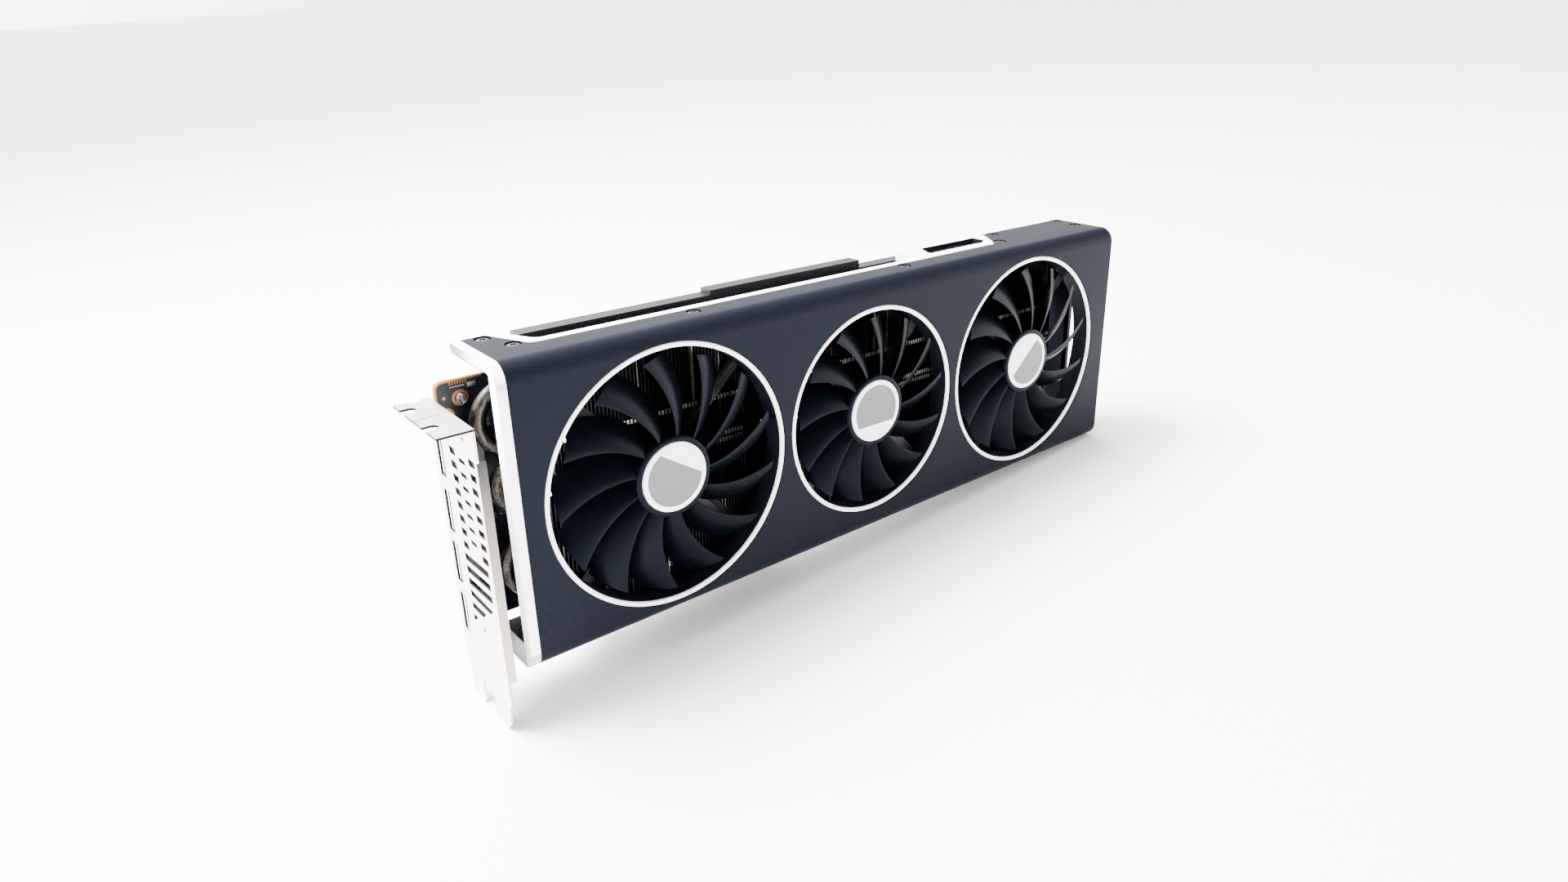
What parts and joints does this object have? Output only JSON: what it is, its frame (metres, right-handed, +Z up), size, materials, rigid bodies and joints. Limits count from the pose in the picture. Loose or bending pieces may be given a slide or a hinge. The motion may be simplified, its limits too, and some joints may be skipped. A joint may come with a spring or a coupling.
{
  "type": "graphics card",
  "caption": "Dual-slot plug-in graphics card with a boxed cooler, spinning axial fans, exposed heat pipes and a slotted steel bracket.",
  "frame": {"origin": "middle of the card's box at its lowest point, the tongues of the bracket", "axes": "+X along the card from the bracket to the tail, +Y from the fan face to the backplate, +Z up from the edge connector to the top"},
  "size_m": [0.3554, 0.0434, 0.139],
  "materials": {
    "shroud_black": "satin blue-black, fine grain",
    "frame_white": "satin white",
    "fan_black": "dark slate, smooth",
    "cap_grey": "silver grey and white print",
    "bracket_steel": "bright nickel plate",
    "port_steel": "plated shell",
    "pipe_nickel": "nickel-plated copper",
    "fin_aluminium": "bare sheet",
    "winding_copper": "enamelled wire on a steel core",
    "magnet_dark": "bonded magnet",
    "board_black": "black solder mask, bare edge",
    "chip_black": "moulded",
    "socket_black": "moulded",
    "plate_grey": "satin grey",
    "screw_dark": "black oxide",
    "screw_bright": "nickel plate"
  },
  "bodies": {
    "card": {"shroud": "shroud_black", "mid_frame": "frame_white", "ring_trim_left": "frame_white", "ring_trim_middle": "frame_white", "ring_trim_right": "frame_white", "fan_motor_left": "winding_copper", "fan_motor_middle": "winding_copper", "fan_motor_right": "winding_copper", "fan_base_left": "socket_black", "fan_base_middle": "socket_black", "fan_base_right": "socket_black", "fin_stack_left": "fin_aluminium", "fin_stack_middle": "fin_aluminium", "fin_stack_right": "fin_aluminium", "heat_pipe_upper": "pipe_nickel", "heat_pipe_middle": "pipe_nickel", "heat_pipe_lower": "pipe_nickel", "cold_plate": "pipe_nickel", "circuit_board": "board_black", "gpu_package": "chip_black", "memory_chip_1": "chip_black", "memory_chip_2": "chip_black", "memory_chip_3": "chip_black", "memory_chip_4": "chip_black", "bracket": "bracket_steel", "hdmi_socket": "port_steel", "displayport_socket_1": "port_steel", "displayport_socket_2": "port_steel", "displayport_socket_3": "port_steel", "power_socket_1": "socket_black", "power_socket_2": "socket_black", "backplate": "plate_grey", "retention_spring": "bracket_steel", "spring_screw_1": "screw_dark", "spring_screw_2": "screw_dark", "spring_screw_3": "screw_dark", "spring_screw_4": "screw_dark", "board_screw_upper": "screw_bright", "board_screw_lower": "screw_bright", "shroud_screw_1": "screw_dark", "shroud_screw_2": "screw_dark", "shroud_screw_3": "screw_dark", "shroud_screw_4": "screw_dark", "shroud_screw_5": "screw_dark", "shroud_screw_6": "screw_dark", "shroud_screw_7": "screw_dark", "shroud_screw_8": "screw_dark"},
    "left_fan": {"fan_rotor_left": "fan_black", "fan_cap_left": "cap_grey", "fan_magnet_left": "magnet_dark", "fan_shaft_left": "screw_bright"},
    "middle_fan": {"fan_rotor_middle": "fan_black", "fan_cap_middle": "cap_grey", "fan_magnet_middle": "magnet_dark", "fan_shaft_middle": "screw_bright"},
    "right_fan": {"fan_rotor_right": "fan_black", "fan_cap_right": "cap_grey", "fan_magnet_right": "magnet_dark", "fan_shaft_right": "screw_bright"}
  },
  "joints": [
    {"name": "left_fan_spin", "type": "hinge", "parent": "card", "child": "left_fan", "pos_m": [-0.09309, -0.0167, 0.081], "axis": [0, 1, 0], "continuous": true},
    {"name": "middle_fan_spin", "type": "hinge", "parent": "card", "child": "middle_fan", "pos_m": [0.01042, -0.0167, 0.081], "axis": [0, 1, 0], "continuous": true},
    {"name": "right_fan_spin", "type": "hinge", "parent": "card", "child": "right_fan", "pos_m": [0.11392, -0.0167, 0.081], "axis": [0, 1, 0], "continuous": true}
  ]
}
